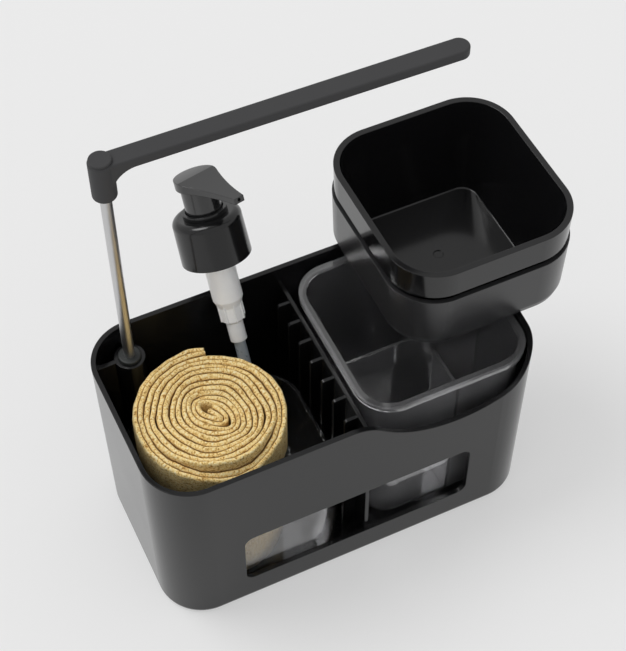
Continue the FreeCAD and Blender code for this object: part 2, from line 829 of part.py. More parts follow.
def pump_collar():
    shell = turned([
        (COLLAR_BORE, 0.0),
        (COLLAR_BOTTOM_RADIUS, 0.0),
        (COLLAR_TOP_RADIUS, COLLAR_HEIGHT),
        (GUIDE_RADIUS + RUNNING_GAP, COLLAR_HEIGHT),
        (GUIDE_RADIUS + RUNNING_GAP, COLLAR_HEIGHT - COLLAR_TOP_WALL),
        (COLLAR_BORE, COLLAR_HEIGHT - COLLAR_TOP_WALL),
    ])
    shoulder = [
        edge for edge in shell.Edges
        if len(edge.Vertexes) == 1
        and edge.BoundBox.ZMin > COLLAR_HEIGHT - COLLAR_TOP_WALL / 2
        and edge.BoundBox.XMax > COLLAR_BORE
    ]
    shell = shell.makeFillet(COLLAR_SHOULDER, shoulder)
    sleeve = pipe(
        GUIDE_RADIUS + RUNNING_GAP + COLLAR_SLEEVE_WALL,
        GUIDE_RADIUS + RUNNING_GAP,
        guide_floor_top() + RUNNING_GAP,
        COLLAR_HEIGHT - COLLAR_TOP_WALL / 2,
    )
    return joined([shell, sleeve])


def pump_guide():
    """The cup that guides the head's skirt and the stem, clamped by the collar's sleeve."""
    top = COLLAR_HEIGHT + GUIDE_RING
    return turned([
        (STEM_RADIUS + RUNNING_GAP, flange_top() - GUIDE_PLUG),
        (CHAMBER_BORE, flange_top() - GUIDE_PLUG),
        (CHAMBER_BORE, flange_top()),
        (FLANGE_RADIUS, flange_top()),
        (FLANGE_RADIUS, guide_floor_top()),
        (GUIDE_RADIUS, guide_floor_top()),
        (GUIDE_RADIUS, COLLAR_HEIGHT + RUNNING_GAP),
        (GUIDE_RING_RADIUS, COLLAR_HEIGHT + RUNNING_GAP),
        (GUIDE_RING_RADIUS, top),
        (GUIDE_BORE, top),
        (GUIDE_BORE, guide_floor_top()),
        (STEM_RADIUS + RUNNING_GAP, guide_floor_top()),
    ])


def neck_gasket():
    return pipe(FLANGE_RADIUS, GASKET_BORE, FLANGE_LEVEL - GASKET_THICK, FLANGE_LEVEL)


def pump_chamber():
    """The stepped housing: flange, chamber, ribbed neck with the ball's seat, and the tube's socket."""
    step = NECK_RADIUS - SOCKET_STEP_RADIUS
    taper_bottom = chamber_bottom() - CHAMBER_TAPER
    socket_bottom = neck_bottom() - SOCKET_STEP_LENGTH
    grip_top = socket_bottom + TUBE_GRIP
    housing = turned([
        (TUBE_RADIUS, socket_bottom),
        (SOCKET_STEP_RADIUS, socket_bottom),
        (SOCKET_STEP_RADIUS, neck_bottom() - step),
        (NECK_RADIUS, neck_bottom()),
        (NECK_RADIUS, taper_bottom),
        (CHAMBER_RADIUS, chamber_bottom()),
        (CHAMBER_RADIUS, FLANGE_LEVEL),
        (FLANGE_RADIUS, FLANGE_LEVEL),
        (FLANGE_RADIUS, flange_top()),
        (CHAMBER_BORE, flange_top()),
        (CHAMBER_BORE, spring_seat()),
        (NECK_BORE, spring_seat()),
        (NECK_BORE, seat_top() + NECK_BORE - SEAT_HOLE),
        (SEAT_HOLE, seat_top()),
        (SEAT_HOLE, grip_top),
        (TUBE_RADIUS, grip_top),
    ])
    ribs = []
    for index in range(NECK_RIB_COUNT):
        rib = box(
            Vec((NECK_RADIUS + NECK_BORE) / 2, -NECK_RIB_THICK / 2, neck_bottom()),
            Vec(NECK_RADIUS + NECK_RIB_REACH, NECK_RIB_THICK / 2, taper_bottom + CHAMBER_TAPER / 2),
        )
        rib.rotate(Vec(0, 0, 0), Vec(0, 0, 1), FULL_TURN * index / NECK_RIB_COUNT)
        ribs.append(rib)
    return joined([housing] + ribs)


def dip_tube():
    """The tube, pushed into the housing's socket and cut to a slant at its foot."""
    top = neck_bottom() - SOCKET_STEP_LENGTH + TUBE_GRIP
    bottom = top - TUBE_LENGTH
    tube = pipe(TUBE_RADIUS, TUBE_BORE, bottom, top)
    slant = box(
        Vec(-OVERRUN, -OVERRUN, bottom - 2 * OVERRUN),
        Vec(OVERRUN, OVERRUN, bottom),
    )
    slant.rotate(Vec(TUBE_RADIUS, 0, bottom), Vec(0, 1, 0), PUMP_LEAN_ANGLE)
    return tube.cut(slant)


def inlet_ball():
    """The check ball, resting in the cone of its seat."""
    cone = math.sqrt(2) * (BALL_RADIUS + RUNNING_GAP)
    level = seat_top() - SEAT_HOLE + cone
    return Part.makeSphere(BALL_RADIUS, Vec(0, 0, level))


def pump_piston():
    bottom = piston_bottom()
    top = bottom + PISTON_LENGTH
    seal = CHAMBER_BORE - RUNNING_GAP
    lip = PISTON_LENGTH / 4
    bore = STEM_SPIGOT_RADIUS + RUNNING_GAP
    return turned([
        (bore, bottom),
        (seal, bottom),
        (seal, bottom + lip),
        (seal - PISTON_WAIST, bottom + 2 * lip),
        (seal, top - lip),
        (seal, top),
        (bore, top),
    ])


def pump_stem():
    """The hollow stem, whose shoulder bears on the piston and whose spigot turns in it."""
    shoulder = piston_bottom() + PISTON_LENGTH + RUNNING_GAP
    return turned([
        (STEM_BORE, piston_bottom()),
        (STEM_SPIGOT_RADIUS, piston_bottom()),
        (STEM_SPIGOT_RADIUS, shoulder),
        (STEM_RADIUS, shoulder),
        (STEM_RADIUS, head_base()),
        (STEM_BORE, head_base()),
    ])


def pump_spring():
    """The return spring: helix arcs of half a turn, between the ledge and the piston."""
    low = spring_seat() + SPRING_WIRE / 2 + SEAT_GAP
    high = piston_bottom() - SPRING_WIRE / 2 - SEAT_GAP
    pitch = (high - low) / SPRING_TURN_COUNT
    helix = Part.makeHelix(pitch, high - low, SPRING_RADIUS)
    helix.translate(Vec(0, 0, low))
    section = Part.Wire(Part.makeCircle(
        SPRING_WIRE / 2, Vec(SPRING_RADIUS, 0, low), Vec(0, SPRING_RADIUS, pitch / FULL_TURN)
    ))
    spring = Part.Wire(helix.Edges).makePipeShell([section], True, True)
    route = helix.discretize(Number=SPRING_TURN_COUNT * TURN_POINT_COUNT + 1)
    print("spring least gap between turns", round(least_gap(route, SPRING_WIRE), 2))
    return spring


def pump_head():
    """The leaf: its plan outline and its side profile, pressed into one another, over a hollow skirt."""
    base = head_base()
    tip = HEAD_TIP_WIDTH / 2
    tip_base = base - HEAD_TIP_DROP
    reach = base + HEAD_THICK + OVERRUN
    turn = math.acos((HEAD_RADIUS - tip) / HEAD_REACH)
    side = Vec(HEAD_RADIUS * math.cos(turn), HEAD_RADIUS * math.sin(turn), 0)
    low = Vec(0, 0, tip_base - OVERRUN)
    waist = Vec((side.x + HEAD_REACH) / 2, (side.y + tip) / 2 - HEAD_WAIST, 0)
    right, left = ([
        Vec(point.x, sign * point.y, 0) + low for point in (side, waist, Vec(HEAD_REACH, tip, 0))
    ] for sign in (-1, 1))
    plan = Part.Wire([
        Part.Arc(left[0], Vec(-HEAD_RADIUS, 0, 0) + low, right[0]).toShape(),
        Part.Arc(*right).toShape(),
        Part.makeLine(right[-1], left[-1]),
        Part.Arc(*left).toShape(),
    ])
    leaf = Part.Face(plan).extrude(Vec(0, 0, reach - low.z))

    wide = HEAD_RADIUS + OVERRUN
    top = base + HEAD_THICK
    back_high = Vec(-HEAD_RADIUS, -wide, top - HEAD_DOME)
    back_low = Vec(-HEAD_RADIUS, -wide, top - HEAD_DOME - HEAD_EDGE_THICK)
    crown = Vec(0, -wide, top)
    under = Vec(-(HEAD_SKIRT_RADIUS + HEAD_SKIRT_BORE) / 2, -wide, base)
    tip_low = Vec(HEAD_REACH, -wide, tip_base)
    tip_high = Vec(HEAD_REACH, -wide, tip_base + HEAD_TIP_THICK)
    hump = Vec(-HEAD_RADIUS / 2, -wide, top - HEAD_DOME / 4)
    saddle = Vec(HEAD_REACH / 2, -wide, (top + tip_high.z - HEAD_DOME) / 2)
    belly = Vec((HEAD_REACH - HEAD_SKIRT_RADIUS) / 2, -wide, base - HEAD_TIP_DROP / 3)
    profile = Part.Wire([
        Part.makeLine(back_low, under),
        Part.Arc(under, belly, tip_low).toShape(),
        Part.makeLine(tip_low, tip_high),
        Part.Arc(tip_high, saddle, crown).toShape(),
        Part.Arc(crown, hump, back_high).toShape(),
        Part.makeLine(back_high, back_low),
    ])
    press = Part.Face(profile).extrude(Vec(0, 2 * wide, 0))
    leaf = leaf.common(press)

    skirt = pipe(HEAD_SKIRT_RADIUS, HEAD_SKIRT_BORE, head_level(), base + HEAD_THICK / 2)
    boss = rod(HEAD_BOSS_RADIUS, head_level(), base + HEAD_THICK / 2)
    head = joined([leaf, skirt, boss])
    head = head.cut(rod(STEM_RADIUS, head_level() - OVERRUN, base))
    spout_level = tip_base + HEAD_TIP_THICK / 2
    rise = base + HEAD_THICK / 2 - spout_level
    spout = Part.makeCylinder(
        SPOUT_BORE,
        math.hypot(HEAD_REACH + SPOUT_BORE, rise),
        Vec(HEAD_REACH + SPOUT_BORE, 0, spout_level),
        Vec(-HEAD_REACH - SPOUT_BORE, 0, rise),
    )
    riser = rod(STEM_BORE, base - OVERRUN, base + HEAD_THICK / 2)
    head = head.cut(spout).cut(riser)
    head.rotate(Vec(0, 0, 0), Vec(0, 0, 1), HEAD_ANGLE)
    return head


def leaned(shape):
    """From the pump's own frame to where it leans: its chamber on the back rim's inner edge."""
    lean = math.radians(PUMP_LEAN_ANGLE)
    stand_off = CHAMBER_RADIUS + SEAT_GAP
    up = CHAMBER_DROP * PUMP_REST_SHARE
    edge_y = TUB_WIDTH / 2 - TUB_WALL
    shape.rotate(Vec(0, 0, 0), Vec(0, 1, 0), PUMP_SIDE_ANGLE)
    shape.rotate(Vec(0, 0, 0), Vec(1, 0, 0), -PUMP_LEAN_ANGLE)
    shape.translate(Vec(
        PUMP_X,
        edge_y - stand_off * math.cos(lean) + up * math.sin(lean),
        TUB_HEIGHT + stand_off * math.sin(lean) + up * math.cos(lean),
    ))
    return shape


def container_corner():
    """The inside faces of the container at its floor: left x and front y."""
    left = left_bay()[0] + BOX_SIDE_GAP + BOX_WALL + BOX_DRAFT
    return left, container_front_y() + BOX_WALL + BOX_DRAFT


def roll_radius():
    """The roll fills the container from front to back, or from its left wall to just past the dip tube."""
    left, front = container_corner()
    across = BOX_BACK_Y - BOX_WALL - BOX_DRAFT - front - ROLL_SPARE
    along = PUMP_X - TUBE_RADIUS - left + ROLL_PAST_TUBE
    return min(across, along) / 2


def rolled_cloth():
    """The folded cloth, rolled up: a spiral strip of half-circle arcs about two centres."""
    bottom = bay_floor() + BOX_FLOOR + SEAT_GAP
    radius_out = roll_radius()
    half_turns = int((radius_out - ROLL_CORE) / (ROLL_PITCH / 2))
    start = radius_out - half_turns * ROLL_PITCH / 2
    outer = []
    inner = []
    middle = []
    for index in range(half_turns + 1):
        side = 1 if index % 2 == 0 else -1
        centre = -side * ROLL_PITCH / 4
        reach = start + index * ROLL_PITCH / 2
        for radius, arcs in (
            (reach, outer),
            (reach - ROLL_LAYER, inner),
            (reach - ROLL_LAYER / 2, middle),
        ):
            arcs.append(Part.Arc(
                Vec(centre + side * radius, 0, bottom),
                Vec(centre, -side * radius, bottom),
                Vec(centre - side * radius, 0, bottom),
            ).toShape())
    edges = outer + inner
    for arcs_end in (0, -1):
        edges.append(Part.makeLine(
            outer[arcs_end].Vertexes[arcs_end].Point, inner[arcs_end].Vertexes[arcs_end].Point
        ))
    route = [point for arc in middle for point in arc.discretize(Number=TURN_POINT_COUNT // 2 + 1)[:-1]]
    print("roll least gap between layers", round(least_gap(route, ROLL_LAYER), 2))
    face = Part.Face(Part.Wire(Part.__sortEdges__(edges)))
    roll = face.extrude(Vec(0, 0, ROLL_HEIGHT))
    roll.rotate(Vec(0, 0, 0), Vec(0, 0, 1), ROLL_ANGLE)
    left, front = container_corner()
    roll.translate(Vec(
        left + ROLL_SIDE_GAP + radius_out, front + ROLL_FRONT_GAP + radius_out, 0
    ))
    return roll


def main():
    pieces = {
        "caddy_body": caddy_body(),
        "post_tube": post_tube(),
        "post_grommet": post_grommet(),
        "post_plug": post_plug(),
        "post_screw": post_screw(),
        "top_plug": top_plug(),
        "pivot_washer": pivot_washer(),
        "pivot_screw": pivot_screw(),
        "towel_arm": towel_arm(),
        "hub_cap": hub_cap(),
        "clear_cup": clear_cup(),
        "clear_container": clear_container(),
        "outer_cup": outer_cup(),
        "inner_cup": inner_cup(),
        "rolled_cloth": rolled_cloth(),
    }
    leaning = {
        "pump_collar": pump_collar,
        "pump_guide": pump_guide,
        "neck_gasket": neck_gasket,
        "pump_chamber": pump_chamber,
        "dip_tube": dip_tube,
        "inlet_ball": inlet_ball,
        "pump_piston": pump_piston,
        "pump_stem": pump_stem,
        "pump_spring": pump_spring,
        "pump_head": pump_head,
    }
    for name, make in leaning.items():
        pieces[name] = leaned(make())
    os.makedirs("parts", exist_ok=True)
    for name, shape in pieces.items():
        shape.exportStep(f"parts/{name}.step")
        print(name, "solids", len(shape.Solids), "valid", shape.isValid(), "mm3", round(shape.Volume, 1))


main()
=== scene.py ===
# %% [markdown]
# # A soap pump caddy
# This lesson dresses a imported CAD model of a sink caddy: a black tub with two bays, a towel arm on
# a steel post, two clear cups, a pair of black cups, a soap pump and a rolled towel.
# The CAD pieces are right as they are, so they keep their shape and get finishes here. The one soft
# piece, the towel, is folded and rolled from a flat cloth in this script.

# %% Load the frame
import math

import bpy
from mathutils import Matrix, Vector, noise


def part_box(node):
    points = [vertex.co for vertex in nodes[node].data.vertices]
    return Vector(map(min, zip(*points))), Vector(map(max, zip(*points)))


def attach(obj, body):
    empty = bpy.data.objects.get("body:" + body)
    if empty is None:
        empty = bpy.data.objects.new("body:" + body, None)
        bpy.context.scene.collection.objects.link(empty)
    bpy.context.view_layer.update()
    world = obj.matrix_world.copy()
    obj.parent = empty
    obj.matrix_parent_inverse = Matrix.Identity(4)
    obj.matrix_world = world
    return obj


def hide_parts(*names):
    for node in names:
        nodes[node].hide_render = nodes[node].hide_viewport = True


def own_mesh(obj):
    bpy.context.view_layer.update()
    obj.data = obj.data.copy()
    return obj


MM = 0.001

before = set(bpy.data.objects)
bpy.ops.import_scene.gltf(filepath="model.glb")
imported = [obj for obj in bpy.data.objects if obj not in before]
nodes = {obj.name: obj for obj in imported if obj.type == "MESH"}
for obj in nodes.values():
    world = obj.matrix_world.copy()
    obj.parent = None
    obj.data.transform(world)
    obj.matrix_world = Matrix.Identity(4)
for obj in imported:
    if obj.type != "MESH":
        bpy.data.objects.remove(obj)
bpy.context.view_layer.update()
bpy.ops.object.select_all(action="DESELECT")
print("nodes in the frame:", len(nodes))

# %% [markdown]
# ## The camera
# The photograph looks down into the tub from its front left. Its place was worked out from the tub's
# rim and base, so the render and the photograph can be laid over each other.

# %% Set up the camera
PICTURE_HEIGHT_PX = 651
FOCAL_LENGTH_PX = 1675.7
SENSOR_HEIGHT = 36.0
CAMERA_PLACE = Vector((-200.6, -430.8, 747.3)) * MM
CAMERA_TARGET = Vector((25.2, 54.2, 50.0)) * MM
CAMERA_ROLL = math.radians(-0.4)

camera_data = bpy.data.cameras.new("photo_camera")
camera_data.sensor_fit = "VERTICAL"
camera_data.sensor_height = SENSOR_HEIGHT
camera_data.lens = FOCAL_LENGTH_PX * SENSOR_HEIGHT / PICTURE_HEIGHT_PX
camera = bpy.data.objects.new("photo_camera", camera_data)
bpy.context.scene.collection.objects.link(camera)
aim = (CAMERA_TARGET - CAMERA_PLACE).to_track_quat("-Z", "Y").to_matrix().to_4x4()
camera.matrix_world = Matrix.Translation(CAMERA_PLACE) @ aim @ Matrix.Rotation(CAMERA_ROLL, 4, "Z")
bpy.context.scene.camera = camera
print("lens:", round(camera_data.lens, 2), "mm")

# %% [markdown]
# ## Colours and nodes
# Colours are written as sRGB hex values, as a colour picker shows them, and Blender's sockets take
# linear values. One function turns the one into the other, and one function adds a shader node.

# %% Helpers for materials
def linear(hex_colour):
    """An sRGB hex colour as a linear RGBA tuple."""
    channels = [int(hex_colour[i:i + 2], 16) / 255 for i in (1, 3, 5)]
    return tuple(c / 12.92 if c <= 0.04045 else ((c + 0.055) / 1.055) ** 2.4 for c in channels) + (1.0,)


def add(tree, kind, inputs=(), **settings):
    """Adds a node, sets its properties, then sets or links its inputs, given as (name, value or socket)."""
    node = tree.nodes.new(kind)
    for name, value in settings.items():
        setattr(node, name, value)
    for name, value in inputs:
        if isinstance(value, bpy.types.NodeSocket):
            tree.links.new(value, node.inputs[name])
        else:
            node.inputs[name].default_value = value
    return node


def new_material(name):
    """An empty node material with its Principled shader."""
    material = bpy.data.materials.new(name)
    material.use_nodes = True
    return material, material.node_tree, material.node_tree.nodes["Principled BSDF"]


def per_mm(size_mm):
    """The texture scale at which one cell of a pattern is this many millimetres, on coordinates in metres."""
    return 1 / (size_mm * MM)


def paint(material, *names):
    """Gives CAD nodes this finish alone."""
    for name in names:
        nodes[name].data.materials.clear()
        nodes[name].data.materials.append(material)
    print(material.name, "on", ", ".join(names))


# %% [markdown]
# ## Black plastic: the tub, the arm and the cups
# All of these are black ABS, from moulds with different surfaces. The tub and the cups come from smooth
# moulds: they look grey where they mirror the pale floor and black where they mirror themselves. The lower
# cup's black is painted a lighter grey, as painted light for the brightness of its faces, and it is duller;
# the pump's head is polished, so it mirrors more. The arm has a finely etched texture that scatters light
# evenly. A Bevel node rounds the shading at the rims, where the real mould's small radius catches a thin
# line of light.

# %% Black plastic
def black_abs(name, dark, light, roughness, grit_strength, edge_mm, gloss=0.5):
    """Moulded black ABS: tone and roughness drift slowly, and fine grit breaks up its reflections."""
    material, tree, shader = new_material(name)
    place = add(tree, "ShaderNodeTexCoord").outputs["Object"]
    # The etched texture is about 0.1 mm; it is drawn at 0.5 mm so that it shows.
    grit = add(tree, "ShaderNodeTexNoise", [("Vector", place), ("Scale", per_mm(0.5)), ("Detail", 2.0)])
    drift = add(tree, "ShaderNodeTexNoise", [("Vector", place), ("Scale", per_mm(30)), ("Detail", 3.0)])
    tone = add(tree, "ShaderNodeMix", [
        ("Factor", drift.outputs["Fac"]), ("A", linear(dark)), ("B", linear(light)),
    ], data_type="RGBA")
    rough = add(tree, "ShaderNodeMapRange", [
        ("Value", drift.outputs["Fac"]), ("To Min", roughness[0]), ("To Max", roughness[1]),
    ])
    edge = add(tree, "ShaderNodeBevel", [("Radius", edge_mm * MM)], samples=4)
    bump = add(tree, "ShaderNodeBump", [
        ("Strength", grit_strength), ("Distance", 0.1 * MM),
        ("Height", grit.outputs["Fac"]), ("Normal", edge.outputs["Normal"]),
    ])
    shader.inputs["Specular IOR Level"].default_value = gloss
    tree.links.new(tone.outputs["Result"], shader.inputs["Base Color"])
    tree.links.new(rough.outputs["Result"], shader.inputs["Roughness"])
    tree.links.new(bump.outputs["Normal"], shader.inputs["Normal"])
    return material


smooth_abs = black_abs(
    "smooth_black_abs", "#0e0e0f", "#131314",
    roughness=(0.14, 0.19), grit_strength=0.05, edge_mm=0.6, gloss=0.43,
)
etched_abs = black_abs(
    "etched_black_abs", "#3d3d3e", "#434344",
    roughness=(0.50, 0.60), grit_strength=0.14, edge_mm=0.8, gloss=0.2,
)
bright_abs = black_abs(
    "bright_cup_abs", "#101011", "#141415",
    roughness=(0.10, 0.15), grit_strength=0.03, edge_mm=0.5,
)
# The lower cup's base is a lighter grey than the other black plastic: painted light for the brightness of its
# faces.
lightened_abs = black_abs(
    "lightened_cup_abs", "#2a2a2b", "#303031",
    roughness=(0.22, 0.28), grit_strength=0.05, edge_mm=0.5,
)
collar_abs = black_abs(
    "collar_black_plastic", "#121213", "#171718",
    roughness=(0.12, 0.18), grit_strength=0.04, edge_mm=0.5,
)
head_abs = black_abs(
    "head_black_plastic", "#141415", "#19191a",
    roughness=(0.13, 0.20), grit_strength=0.04, edge_mm=0.6, gloss=0.9,
)
paint(smooth_abs, "caddy_body")
paint(etched_abs, "towel_arm", "hub_cap")
paint(bright_abs, "inner_cup")
paint(lightened_abs, "outer_cup")
paint(collar_abs, "pump_collar", "pump_guide")
paint(head_abs, "pump_head")

# %% [markdown]
# ## Stainless steel: the post and the small metal pieces
# The post is a drawn tube, polished along its length. Fine lines along Z stretch its highlights into
# upright bands.

# %% Drawn steel
def drawn_steel():
    """Stainless tube: a neutral grey, with fine lines along its length."""
    material, tree, shader = new_material("drawn_stainless_steel")
    place = add(tree, "ShaderNodeTexCoord").outputs["Object"]
    along = add(tree, "ShaderNodeMapping", [("Vector", place), ("Scale", (1.0, 1.0, 0.02))])
    # Draw lines are some 0.05 mm apart; they are drawn 0.4 mm apart so that they show.
    lines = add(tree, "ShaderNodeTexNoise", [
        ("Vector", along.outputs["Vector"]), ("Scale", per_mm(0.4)), ("Detail", 3.0),
    ])
    rough = add(tree, "ShaderNodeMapRange", [
        ("Value", lines.outputs["Fac"]), ("To Min", 0.30), ("To Max", 0.42),
    ])
    tone = add(tree, "ShaderNodeMix", [
        ("Factor", lines.outputs["Fac"]), ("A", linear("#c0c0c1")), ("B", linear("#d9d9d9")),
    ], data_type="RGBA")
    bump = add(tree, "ShaderNodeBump", [
        ("Strength", 0.08), ("Distance", 0.05 * MM), ("Height", lines.outputs["Fac"]),
    ])
    shader.inputs["Metallic"].default_value = 1.0
    tree.links.new(tone.outputs["Result"], shader.inputs["Base Color"])
    tree.links.new(rough.outputs["Result"], shader.inputs["Roughness"])
    tree.links.new(bump.outputs["Normal"], shader.inputs["Normal"])
    return material


paint(drawn_steel(), "post_tube", "post_screw", "pivot_screw", "pivot_washer", "pump_spring", "inlet_ball")

# %% [markdown]
# ## Rubber and plain plastic: the grommet, the plugs and the seal
# The grommet round the foot of the post is a soft dark grey ring with a dull surface. The plugs are hidden
# in the post, and the seal is the pale washer under the pump's collar.

# %% Soft and hidden pieces
def moulded(name, dark, light, roughness, grain_mm):
    """A plain moulded piece whose tone and roughness vary a little over its surface."""
    material, tree, shader = new_material(name)
    place = add(tree, "ShaderNodeTexCoord").outputs["Object"]
    grain = add(tree, "ShaderNodeTexNoise", [("Vector", place), ("Scale", per_mm(grain_mm)), ("Detail", 4.0)])
    tone = add(tree, "ShaderNodeMix", [
        ("Factor", grain.outputs["Fac"]), ("A", linear(dark)), ("B", linear(light)),
    ], data_type="RGBA")
    rough = add(tree, "ShaderNodeMapRange", [
        ("Value", grain.outputs["Fac"]), ("To Min", roughness[0]), ("To Max", roughness[1]),
    ])
    edge = add(tree, "ShaderNodeBevel", [("Radius", 0.3 * MM)], samples=4)
    bump = add(tree, "ShaderNodeBump", [
        ("Strength", 0.15), ("Distance", 0.1 * MM),
        ("Height", grain.outputs["Fac"]), ("Normal", edge.outputs["Normal"]),
    ])
    tree.links.new(tone.outputs["Result"], shader.inputs["Base Color"])
    tree.links.new(rough.outputs["Result"], shader.inputs["Roughness"])
    tree.links.new(bump.outputs["Normal"], shader.inputs["Normal"])
    return material


grommet_rubber = moulded("grey_grommet_rubber", "#1e2120", "#2a2d2c", roughness=(0.4, 0.6), grain_mm=0.8)
plug_nylon = moulded("black_plug_nylon", "#262626", "#303030", roughness=(0.4, 0.55), grain_mm=1.5)
seal_rubber = moulded("pale_seal_rubber", "#d2d1cb", "#dfded9", roughness=(0.5, 0.6), grain_mm=1.0)
paint(grommet_rubber, "post_grommet")
paint(plug_nylon, "post_plug", "top_plug")
paint(seal_rubber, "neck_gasket")

# %% [markdown]
# ## Clear plastic: the two lift-out cups
# They are injection-moulded styrene. Their walls vanish against the black tub, and their rims and
# reflections show them. The cup on the right is hazier and shinier than the container on the left.

# %% Clear plastic
def clear_styrene(name, clearness, coat):
    """Clear moulded plastic with faint flow marks in its gloss. What isn't clearness is haze."""
    material, tree, shader = new_material(name)
    place = add(tree, "ShaderNodeTexCoord").outputs["Object"]
    flow = add(tree, "ShaderNodeTexNoise", [("Vector", place), ("Scale", per_mm(14)), ("Detail", 2.0)])
    rough = add(tree, "ShaderNodeMapRange", [
        ("Value", flow.outputs["Fac"]), ("To Min", 0.02), ("To Max", 0.09),
    ])
    edge = add(tree, "ShaderNodeBevel", [("Radius", 0.5 * MM)], samples=4)
    bump = add(tree, "ShaderNodeBump", [
        ("Strength", 0.12), ("Distance", 0.1 * MM),
        ("Height", flow.outputs["Fac"]), ("Normal", edge.outputs["Normal"]),
    ])
    shader.inputs["Base Color"].default_value = linear("#ececee")
    shader.inputs["Transmission Weight"].default_value = clearness
    shader.inputs["Coat Weight"].default_value = coat
    shader.inputs["IOR"].default_value = 1.57
    tree.links.new(rough.outputs["Result"], shader.inputs["Roughness"])
    tree.links.new(bump.outputs["Normal"], shader.inputs["Normal"])
    return material


paint(clear_styrene("hazy_clear_styrene", clearness=0.93, coat=0.8), "clear_cup")
paint(clear_styrene("clear_styrene", clearness=0.985, coat=0.0), "clear_container")

# %% [markdown]
# ## Natural polypropylene: the pump's inside
# Unpigmented polypropylene is milky: light goes in and spreads. The dip tube is a related plastic in a
# thin wall, so it is clearer and bluish.

# %% Milky pieces
def milky_polypropylene():
    """Unpigmented polypropylene: white, soft and a little see-through."""
    material, tree, shader = new_material("milky_polypropylene")
    place = add(tree, "ShaderNodeTexCoord").outputs["Object"]
    cloud = add(tree, "ShaderNodeTexNoise", [("Vector", place), ("Scale", per_mm(5)), ("Detail", 3.0)])
    tone = add(tree, "ShaderNodeMix", [
        ("Factor", cloud.outputs["Fac"]), ("A", linear("#f8fafb")), ("B", linear("#ffffff")),
    ], data_type="RGBA")
    rough = add(tree, "ShaderNodeMapRange", [
        ("Value", cloud.outputs["Fac"]), ("To Min", 0.28), ("To Max", 0.4),
    ])
    edge = add(tree, "ShaderNodeBevel", [("Radius", 0.4 * MM)], samples=4)
    shader.inputs["Subsurface Weight"].default_value = 0.1
    shader.inputs["Subsurface Radius"].default_value = (1.0, 1.0, 1.0)
    shader.inputs["Subsurface Scale"].default_value = 1.0 * MM
    tree.links.new(tone.outputs["Result"], shader.inputs["Base Color"])
    tree.links.new(rough.outputs["Result"], shader.inputs["Roughness"])
    tree.links.new(edge.outputs["Normal"], shader.inputs["Normal"])
    return material


def tube_polyethylene():
    """Thin-walled dip tube: bluish, cloudy and a little see-through."""
    material, tree, shader = new_material("cloudy_polyethylene_tube")
    place = add(tree, "ShaderNodeTexCoord").outputs["Object"]
    cloud = add(tree, "ShaderNodeTexNoise", [("Vector", place), ("Scale", per_mm(3)), ("Detail", 3.0)])
    tone = add(tree, "ShaderNodeMix", [
        ("Factor", cloud.outputs["Fac"]), ("A", linear("#b6c1cc")), ("B", linear("#cad3db")),
    ], data_type="RGBA")
    rough = add(tree, "ShaderNodeMapRange", [
        ("Value", cloud.outputs["Fac"]), ("To Min", 0.22), ("To Max", 0.36),
    ])
    shader.inputs["Transmission Weight"].default_value = 0.3
    tree.links.new(tone.outputs["Result"], shader.inputs["Base Color"])
    tree.links.new(rough.outputs["Result"], shader.inputs["Roughness"])
    return material


paint(milky_polypropylene(), "pump_chamber", "pump_stem", "pump_piston")
paint(tube_polyethylene(), "dip_tube")

# %% [markdown]
# ## The towel
# A hand towel of about 40 by 70 cm is pleated along its length into four plies, then rolled up and stood
# on end. So each turn of the roll shows two rounded folds on top. The roll starts as a flat strip, is
# wrapped squarely round that strip, and gets rounder with each turn.
#
# A true spiral would leave a hole in the middle. So the line is a blend: its start is a small flat
# oblong, its end is the roll's round outside, and each turn is a step from the one to the other.
# All lengths of the towel are in millimetres until its mesh is made.

# %% The line that the roll follows
ROLL_TURNS = 5.63
ROLL_RADIUS = 37.5
TURN_STEP = math.radians(15)
CORE_ALONG = Vector((0.457, -0.889))
CORE_ACROSS = Vector((0.889, 0.457))
CORE_HALF_LENGTH = 8.7
CORE_HALF_WIDTH = 2.9
CORE_SQUARENESS = 2.5
# The strip's free end in the core, along and across it. It takes the place of the first two turning steps.
STRIP_START = ((-2.0, 1.9), (2.0, 2.2), (6.2, 2.1), (8.6, -0.4))
STRIP_START_STEPS = 2
SMOOTHING_PASSES = 2
PATH_STEP = 1.2


def core_radius(direction):
    """How far the flat oblong in the middle reaches this way, in mm."""
    along = abs(math.cos(direction)) / CORE_HALF_LENGTH
    across = abs(math.sin(direction)) / CORE_HALF_WIDTH
    return (along ** CORE_SQUARENESS + across ** CORE_SQUARENESS) ** (-1 / CORE_SQUARENESS)


def plan_point(along, across):
    """The plan point at this place along and across the flat core."""
    return CORE_ALONG * along + CORE_ACROSS * across


def evenly(points, step):
    """Points along a line at equal steps."""
    even, spare = [points[0]], 0.0
    for a, b in zip(points, points[1:]):
        run = (b - a).length
        at = step - spare
        while at <= run:
            even.append(a.lerp(b, at / run))
            at += step
        spare = run - (at - step)
    return even


def roll_line():
    """The middle of the pleated strip, in mm about the roll's centre, from the core to the outer end."""
    points = [plan_point(along, across) for along, across in STRIP_START]
    steps = round(ROLL_TURNS * math.tau / TURN_STEP)
    for step in range(STRIP_START_STEPS, steps + 1):
        direction = -step * TURN_STEP
        core = core_radius(direction)
        reach = core + (ROLL_RADIUS - core) * step / steps
        points.append(plan_point(reach * math.cos(direction), reach * math.sin(direction)))
    for _ in range(SMOOTHING_PASSES):
        middle = [(a + b * 2 + c) / 4 for a, b, c in zip(points, points[1:], points[2:])]
        points = points[:1] + middle + points[-1:]
    return evenly(points, PATH_STEP)


line = roll_line()
rolled_length = (len(line) - 1) * PATH_STEP
print("rolled length:", round(rolled_length), "mm in", len(line), "steps")

# %% [markdown]
# The pleats are drawn as a small zigzag: up, over, down, under, up, over, down. The plies are thinner
# where the roll is squeezed, at the two ends of its flat core. The free edges and the one lower fold
# stand on the clear container's floor.

